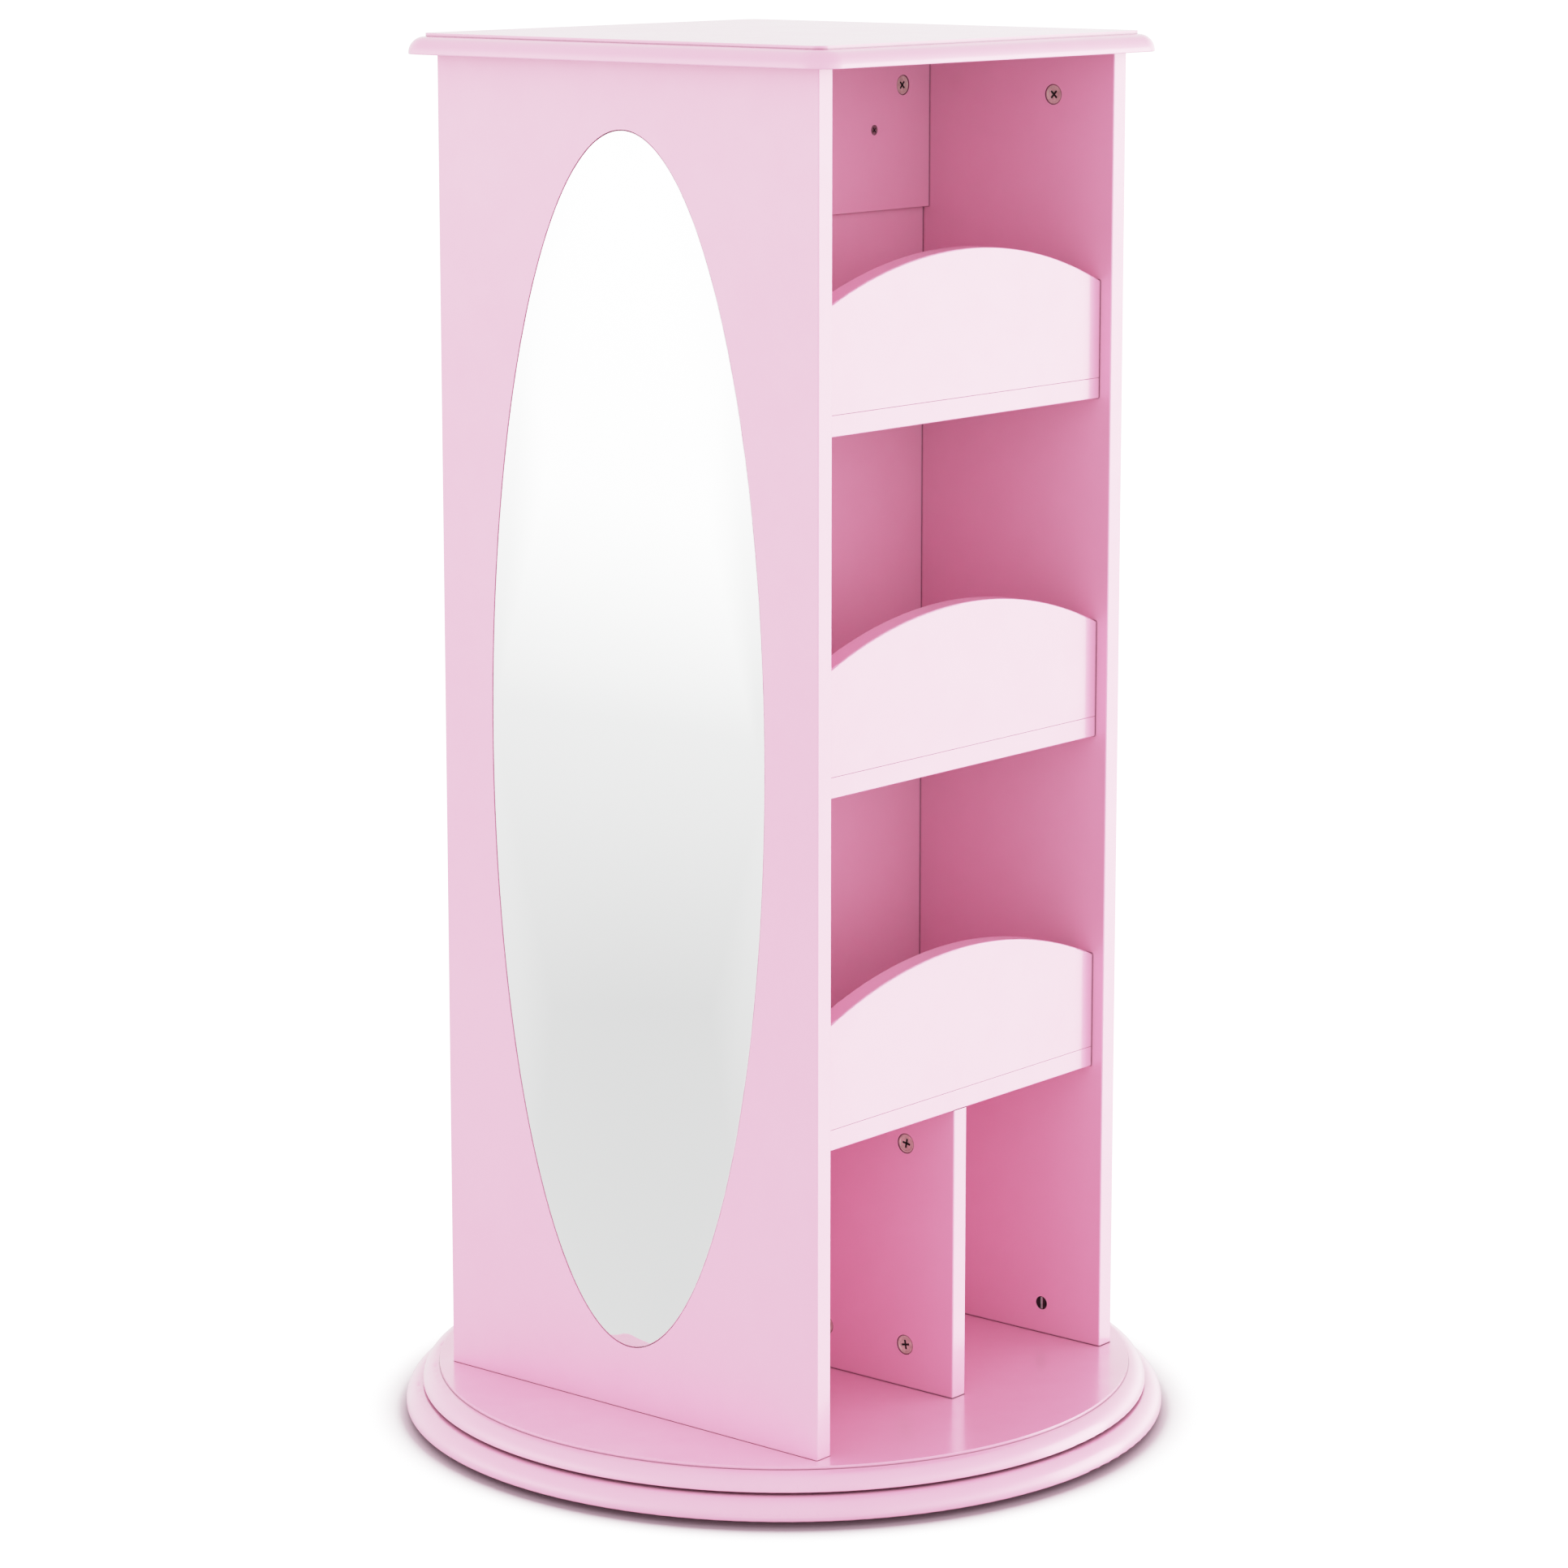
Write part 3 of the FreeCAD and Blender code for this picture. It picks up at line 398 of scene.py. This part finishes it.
def easeEdges(bm, edges, offset, segments):
    bmesh.ops.bevel(bm, geom=edges, offset=offset, offset_type="OFFSET", segments=segments, profile=0.5,
                    affect="EDGES", material=-1)


def isAt(point, level):
    return abs(point.z - level) < touch


def flatAt(bm, level):
    bm.normal_update()
    return [face for face in bm.faces if isAt(face.calc_center_median(), level) and face.normal.z > 0.9]


def whole(faces):  # faces with their edges and corners
    parts = dict.fromkeys(faces)
    for face in faces:
        parts.update(dict.fromkeys(list(face.edges) + list(face.verts)))
    return list(parts)


def inArms(point, arms):
    return any(abs(point.x) < long / 2 and abs(point.y) < wide / 2 for long, wide in arms)


def isLip(edge, level, arms):  # an edge at the level, sharper than a radian, that runs round the arms
    first, last = (corner.co for corner in edge.verts)
    if edge.calc_face_angle(0) <= 1.0 or not isAt(first, level) or not isAt(last, level):
        return False
    justWithin = (first + last) / 2 * 0.98
    return inArms(justWithin, arms)


# Slots cut into a flat face: it is split along every arm's sides, and what lies in the arms goes down
def sinkArms(bm, level, arms, depth, taper, ease, inside):
    for axis, way in ((0, (1, 0, 0)), (1, (0, 1, 0))):
        for arm in arms:
            for side in (-1, 1):
                bmesh.ops.bisect_plane(bm, geom=whole(flatAt(bm, level)), dist=touch / 10,
                                       plane_co=[side * arm[axis] / 2 * part for part in way], plane_no=way)
    covered = [face for face in flatAt(bm, level) if inArms(face.calc_center_median(), arms)]
    low = cornersIn(bmesh.ops.extrude_face_region(bm, geom=whole(covered))["geom"])
    bmesh.ops.translate(bm, verts=low, vec=(0, 0, -depth))
    bmesh.ops.scale(bm, verts=low, vec=(taper, taper, 1))
    bmesh.ops.recalc_face_normals(bm, faces=bm.faces[:])
    bm.normal_update()
    for face in {face for corner in low for face in corner.link_faces}:
        face.material_index = inside
    easeEdges(bm, [edge for edge in bm.edges if isLip(edge, level, arms)], ease, 2)


def keepShape(name, bm):
    bmesh.ops.recalc_face_normals(bm, faces=bm.faces[:])
    mesh = bpy.data.meshes.new(name)
    bm.to_mesh(mesh)
    bm.free()
    return mesh


# Copies of one shape, each with its face at a place, its +X along one way and its +Z out along another
def setOut(bm, shape, places):
    for place, along, out, turn in places:
        count = len(bm.verts)
        bm.from_mesh(shape)
        bm.verts.ensure_lookup_table()
        along, out = Vector(along), Vector(out)
        pose = Matrix((along, out.cross(along), out)).transposed().to_4x4()
        pose.translation = place
        pose = pose @ Matrix.Rotation(radians(turn), 4, "Z")
        bmesh.ops.transform(bm, matrix=pose, verts=bm.verts[count:])


# A finished piece: metres, crisp where the faces turn sharply, riding on its body in place of its node
def finishPiece(name, bm, body, node, materials, crisp=25):
    bmesh.ops.scale(bm, verts=bm.verts[:], vec=(mm, mm, mm))
    for face in bm.faces:
        face.smooth = True
    for edge in bm.edges:
        edge.smooth = edge.calc_face_angle(0) < radians(crisp)
    mesh = bpy.data.meshes.new(name)
    bm.to_mesh(mesh)
    bm.free()
    for material in materials:
        mesh.materials.append(material)
    piece = bpy.data.objects.new(name, mesh)
    bpy.context.scene.collection.objects.link(piece)
    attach(piece, body)
    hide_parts(node)


# The oval mirror, with a ground edge round its silvered face
mirror = dict(width=255.0, height=871.0, thickness=2.0, middle=519.0, face=-174.8, steps=256, ground=0.7,
              groundSteps=3, crisp=30)
bm = bmesh.new()
bmesh.ops.create_circle(bm, cap_ends=True, segments=mirror["steps"], radius=0.5)
bmesh.ops.scale(bm, verts=bm.verts[:], vec=(mirror["width"], mirror["height"], 1))
raiseFaces(bm, bm.faces[:], mirror["thickness"])
bmesh.ops.recalc_face_normals(bm, faces=bm.faces[:])
rim = [edge for edge in bm.edges if all(isAt(corner.co, mirror["thickness"]) for corner in edge.verts)]
easeEdges(bm, rim, mirror["ground"], mirror["groundSteps"])
bm.normal_update()
for face in bm.faces:
    face.material_index = 0 if face.normal.z > 0.999 else 1
upright = Matrix(((0, 0, -1, mirror["face"] + mirror["thickness"]),  # its face looks along -X
                  (-1, 0, 0, 0),
                  (0, 1, 0, mirror["middle"]),
                  (0, 0, 0, 1)))
bmesh.ops.transform(bm, matrix=upright, verts=bm.verts[:])
finishPiece("ovalMirror", bm, "carousel", "oval_mirror", [finishes["mirror_glass"], groundGlass],
            mirror["crisp"])
print("mirror set")


def edgeOf(node, end, axis):  # where a node begins (0) or ends (1) along an axis, in mm
    return round(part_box(node)[end][axis] / mm, 2)


# Where the boards' faces are, and the rows of fittings in them
boards = dict(
    inner=edgeOf("plain_side_panel", 0, 0), foot=edgeOf("plain_side_panel", 0, 2),
    head=edgeOf("top_board", 0, 2), rail=edgeOf("centre_rail", 0, 1), divider=edgeOf("cubby_divider", 0, 0),
    undersides=[edgeOf(shelf, 0, 2) for shelf in ("lower_shelf", "middle_shelf", "upper_shelf")],
    front=-121, rear=-46)
left, right, up, down, forward = (-1, 0, 0), (1, 0, 0), (0, 0, 1), (0, 0, -1), (0, -1, 0)

# Cam locks: a chamfered and dished face with a cross, a cut-away wall below it and a pointer on the rim
camLock = dict(
    steps=40, side=[(0, -3.6), (7.35, -3.6), (7.35, -1.0), (7.2, -0.75), (6.8, -0.38), (6.6, -0.3),
                    (5.75, -0.3), (5.6, -0.36), (5.3, -0.7)],
    dish=-0.7, cross=[(7.0, 1.5), (1.5, 7.0)], depth=1.8, taper=0.86, ease=0.12,
    shadedFrom=6.75, shadedAbove=-1.0, wall=(6.1, 7.35, -12.35, -3.5), gap=64, wallSteps=26,
    pointer=(6.12, 0, -0.32), pointerSize=0.5, pointerHeight=0.16, setback=32, railDrop=27.5,
    topTurn=45, railTurn=42, shelfTurn=20, dividerTurns=(-7, 6), wander=5, wanderStep=2.4)


def makeCamFace():
    bm = lathe(camLock["side"], camLock["steps"])
    # painted shade: the sunk cross takes the near-black finish
    sinkArms(bm, camLock["dish"], camLock["cross"], camLock["depth"], camLock["taper"], camLock["ease"], 1)
    for face in bm.faces:
        widest = max(corner.co.xy.length for corner in face.verts)
        if widest > camLock["shadedFrom"] and face.calc_center_median().z > camLock["shadedAbove"]:
            face.material_index = 2  # painted shade: the turned-down edge, down in the bore, takes a darker pink-brown finish
    pointer = bmesh.ops.create_circle(bm, cap_ends=True, segments=3, radius=camLock["pointerSize"])["verts"]
    bmesh.ops.translate(bm, verts=pointer, vec=camLock["pointer"])
    lone = [face for face in bm.faces if all(corner in pointer for corner in face.verts)]
    raiseFaces(bm, lone, camLock["pointerHeight"])
    return keepShape("camFace", bm)


def makeCamWall():
    bm = bmesh.new()
    ringLength(bm, *camLock["wall"], 180, 360 - camLock["gap"], camLock["wallSteps"])
    return keepShape("camWall", bm)


def findCamPlaces():
    setback = camLock["setback"]
    high = boards["head"] - setback
    upper, lower = boards["undersides"][0] - setback, boards["foot"] + setback
    upperTurn, lowerTurn = camLock["dividerTurns"]
    places = []
    for side, inward in ((-1, right), (1, left)):
        outward, across = (side, 0, 0), side * (boards["inner"] - setback)
        places += [((side * boards["inner"], row, high), up, inward, camLock["topTurn"])
                   for row in (boards["front"], -boards["front"])]
        places.append(((across, boards["rail"], boards["head"] - camLock["railDrop"]),
                       outward, forward, camLock["railTurn"]))
        places += [((across, row, level), outward, down, camLock["shelfTurn"])
                   for level in boards["undersides"] for row in (boards["front"], boards["rear"])]
    for row in (boards["front"], boards["rear"]):
        places += [((boards["divider"], row, upper), up, left, upperTurn),
                   ((boards["divider"], row, lower), down, left, lowerTurn)]
    return places


def wander(number):  # each lock was turned by hand, so none stands quite like the next
    return camLock["wander"] * sin(camLock["wanderStep"] * number)


camPlaces = findCamPlaces()
bm = bmesh.new()
setOut(bm, makeCamFace(), [(*where, turn + wander(number))
                           for number, (*where, turn) in enumerate(camPlaces)])
setOut(bm, makeCamWall(), [(*where, 0) for *where, turn in camPlaces])
finishPiece("camLocks", bm, "carousel", "cam_locks", [finishes["cam_zinc"], recessShade, boreShade])
print("cam locks", len(camPlaces))

# Barrel nuts at the panels' feet: a slotted end, two cheeks beside the bolt and a closed far end
barrelNut = dict(
    steps=36, side=[(0, -3.8), (5.0, -3.8), (5.0, -0.75), (4.9, -0.5), (4.65, -0.3)],
    face=-0.3, slot=[(9.0, 1.8)], depth=0.45, taper=0.97, ease=0.08,
    cheek=(4.1, 5.0, -10.8, -3.6), cheekSweep=76, cheekSteps=8,
    end=[(0, -13.0), (5.0, -13.0), (5.0, -10.6), (4.0, -10.6)], rise=23.4)


def makeBarrelFace():
    bm = lathe(barrelNut["side"], barrelNut["steps"])
    # painted highlight: the sunk slot takes the light finish
    sinkArms(bm, barrelNut["face"], barrelNut["slot"], barrelNut["depth"], barrelNut["taper"],
             barrelNut["ease"], 1)
    for middle in (90, -90):
        ringLength(bm, *barrelNut["cheek"], middle, barrelNut["cheekSweep"], barrelNut["cheekSteps"])
    return keepShape("barrelFace", bm)


barrelFace = makeBarrelFace()
barrelEnd = keepShape("barrelEnd", lathe(barrelNut["end"], barrelNut["steps"]))
barrelPlaces = [((side * boards["inner"], row, boards["foot"] + barrelNut["rise"]), up, (-side, 0, 0), 0)
                for side in (-1, 1) for row in (boards["front"], -boards["front"])]
bm = bmesh.new()
setOut(bm, barrelFace, barrelPlaces)
setOut(bm, barrelEnd, barrelPlaces)
finishPiece("barrelNuts", bm, "carousel", "barrel_nuts", [finishes["dark_steel"], slotSteel])
print("barrel nuts", len(barrelPlaces))

# Countersunk screws with a cross, a rolled thread and a point
longScrew = dict(
    steps=28, head=3.75, shank=2.0, length=35.0, rim=[(0.1, -0.25), (0, -0.12), (0.15, 0)],
    tip=(0.35, 1.6), threadFrom=4.0, threadTo=4.5, pitch=1.5, crest=0.4, foot=0.8, root=0.72,
    neck=0.8, neckLength=3.0, armMargin=1.6, armWidth=0.95, crossDepth=1.3, taper=0.6, ease=0.08)
coatPegScrews = dict(level=943, turns=((-94.5, 12), (0, 71), (94.5, 38)))
frontBoardScrews = dict(out=100, row=-157.5, turn=30, lean=18)


def makeLongScrew():
    head, shank, length, pitch = (longScrew[key] for key in ("head", "shank", "length", "pitch"))
    root, neck = shank * longScrew["root"], shank * longScrew["neck"]
    crest, foot = pitch * longScrew["crest"], pitch * longScrew["foot"]
    tipWidth, tipLength = longScrew["tip"]
    cone = shank - head  # the level where the countersunk head begins
    profile = [(0, -length), (shank * tipWidth, tipLength - length)]
    level = longScrew["threadFrom"] - length
    while level < cone - longScrew["threadTo"]:
        profile += [(root, level), (shank, level + crest), (root, level + foot)]
        level += pitch
    profile += [(neck, cone - longScrew["neckLength"]), (neck, cone)]
    profile += [(head - less, up) for less, up in longScrew["rim"]]
    bm = lathe(profile, longScrew["steps"])
    arm = 2 * (head - longScrew["armMargin"])
    cross = [(arm, longScrew["armWidth"]), (longScrew["armWidth"], arm)]
    # painted shade: the sunk cross takes the near-black finish
    sinkArms(bm, 0.0, cross, longScrew["crossDepth"], longScrew["taper"], longScrew["ease"], 1)
    return keepShape("longScrew", bm)


screwShape = makeLongScrew()
bm = bmesh.new()
setOut(bm, screwShape, [((x, boards["rail"], coatPegScrews["level"]), right, forward, turn)
                        for x, turn in coatPegScrews["turns"]])
finishPiece("coatPegScrews", bm, "carousel", "coat_peg_screws", [screwBronze, recessShade])
bm = bmesh.new()
setOut(bm, screwShape, [((side * frontBoardScrews["out"], frontBoardScrews["row"], level), right, down,
                         frontBoardScrews["turn"] + side * frontBoardScrews["lean"] + level)
                        for side in (-1, 1) for level in boards["undersides"]])
finishPiece("frontBoardScrews", bm, "carousel", "front_board_screws", [finishes["zinc_steel"], recessShade])
print("screws set")

# A pale floor that fades out round the base, with a painted shadow under the rim: its colour darkens to a
# mauve shade near the base, centred a little toward the front
# lean moves the middle of the painted shadow, under is where it runs from full to none, and shade and tint
# give its brightness and mauve cast
paleFloor = dict(
    radius=0.5, steps=96, lean=(0.0116, 0.0096, 0), solid=0.287, gone=0.316, under=(0.251, 0.291),
    shade=[(0.0, 0.5), (0.35, 0.33), (0.6, 0.4), (0.8, 0.62), (1.0, 0.9)], tint=(0, 0.45, 0.22),
    mottle=0.06, mottleSize=3.0, roughness=0.55, shine=0.25)


def makePaleFloor():
    ground = Finish("paleFloor")
    where = ground.place()
    reach = ground.length(where)
    leant = ground.length(ground.place(shift=paleFloor["lean"]))
    # painted shadow: stops run from dark mauve under the rim out to near white
    stops = [(at, (*[level * (1 - share + share * level) for share in paleFloor["tint"]], 1))
             for at, level in paleFloor["shade"]]
    shade = ground.ramp(ground.span(leant, *paleFloor["under"]), stops)
    mottle = ground.noise(where, paleFloor["mottleSize"]) * paleFloor["mottle"]
    return ground.done(
        Base_Color=ground.blend(mottle, shade, (1, 1, 1, 1)),
        Roughness=paleFloor["roughness"],
        Specular_IOR_Level=paleFloor["shine"],
        Alpha=ground.span(reach, paleFloor["solid"], paleFloor["gone"], 1.0, 0.0),
    )


floorMesh = bpy.data.meshes.new("studioFloor")
bm = bmesh.new()
bmesh.ops.create_circle(bm, cap_ends=True, segments=paleFloor["steps"], radius=paleFloor["radius"])
bm.to_mesh(floorMesh)
bm.free()
floorMesh.materials.append(makePaleFloor())
floor = bpy.data.objects.new("studioFloor", floorMesh)
bpy.context.scene.collection.objects.link(floor)
print("floor set")

# The studio all round: bright walls to both sides, and plain white behind everything. Levels run from
# straight down at 0 to straight up at 1. A wall is where the way out lies far enough along the axis, or
# against it.
studio = dict(
    white=3.4, axis=(0.788, -0.616, 0.0), right=(0.2, 0.85), left=(-0.72, -0.97), brightest=4.0,
    plain=[(0.0, 1.1), (0.34, 1.2), (0.415, 1.35), (0.475, 1.52), (0.55, 1.62), (0.7, 1.62),
           (0.82, 1.38), (1.0, 1.25)],
    bright=[(0.0, 0.85), (0.34, 1.0), (0.415, 1.5), (0.475, 2.8), (0.55, 3.2), (0.675, 2.2),
            (0.8, 1.1), (1.0, 1.0)])
around = Finish("whiteStudio", "worlds", "Background")
way = around.add("ShaderNodeTexCoord", output="Generated")
rise = around.add("ShaderNodeSeparateXYZ", {}, {"Vector": way}, output="Z") * 0.5 + 0.5
aside = around.dot(way, studio["axis"])
aside = around.span(aside, *studio["right"]) + around.span(aside, *studio["left"])


def makeWall(levels):
    stops = [(at, (*[level / studio["brightest"]] * 3, 1)) for at, level in levels]
    return around.ramp(rise, stops) * studio["brightest"]


glow = makeWall(studio["plain"]) * (1 - aside) + makeWall(studio["bright"]) * aside
seen = around.add("ShaderNodeLightPath", output="Is Camera Ray")
around.done(Strength=glow * (1 - seen) + seen * studio["white"], Color=(1, 1, 1, 1))
bpy.context.scene.world = around.material


def aimAt(thing, place, aim):
    thing.location = place
    thing.rotation_mode = "QUATERNION"
    thing.rotation_quaternion = (Vector(aim) - Vector(place)).to_track_quat("-Z", "Y")
    bpy.context.scene.collection.objects.link(thing)


softbox = dict(place=(3.0, -2.6, 0.15), aim=(0, 0, 0.35), width=2.2, height=3.4, power=66)
lampData = bpy.data.lights.new("keySoftbox", "AREA")
lampData.shape = "RECTANGLE"
lampData.size = softbox["width"]
lampData.size_y = softbox["height"]
lampData.energy = softbox["power"]
lamp = bpy.data.objects.new("keySoftbox", lampData)
lamp.visible_camera = False
aimAt(lamp, softbox["place"], softbox["aim"])
print("light set")

camera = dict(place=(-2.6284, -2.1785, 1.1443), aim=(0, 0, 0.53967), sensor=36, lens=108.847, shiftY=-0.06)
cameraData = bpy.data.cameras.new("studioCamera")
cameraData.sensor_width = camera["sensor"]
cameraData.lens = camera["lens"]
cameraData.shift_y = camera["shiftY"]
studioCamera = bpy.data.objects.new("studioCamera", cameraData)
aimAt(studioCamera, camera["place"], camera["aim"])
bpy.context.scene.camera = studioCamera

# The tone curve, from light to what is shown: straight in the darks, with a long soft shoulder
tone = dict(white=3.0, points=[(0.15, 0.15), (0.3, 0.29), (0.5, 0.46), (0.71, 0.61), (1.0, 0.745),
                               (1.4, 0.85), (1.9, 0.925), (2.5, 0.98)])
view = bpy.context.scene.view_settings
view.view_transform = "Standard"
view.look = "None"
view.use_curve_mapping = True
view.curve_mapping.white_level = (tone["white"],) * 3
for brightness, shown in tone["points"]:
    view.curve_mapping.curves[3].points.new(brightness / tone["white"], shown)
view.curve_mapping.update()
print("camera and tone set")
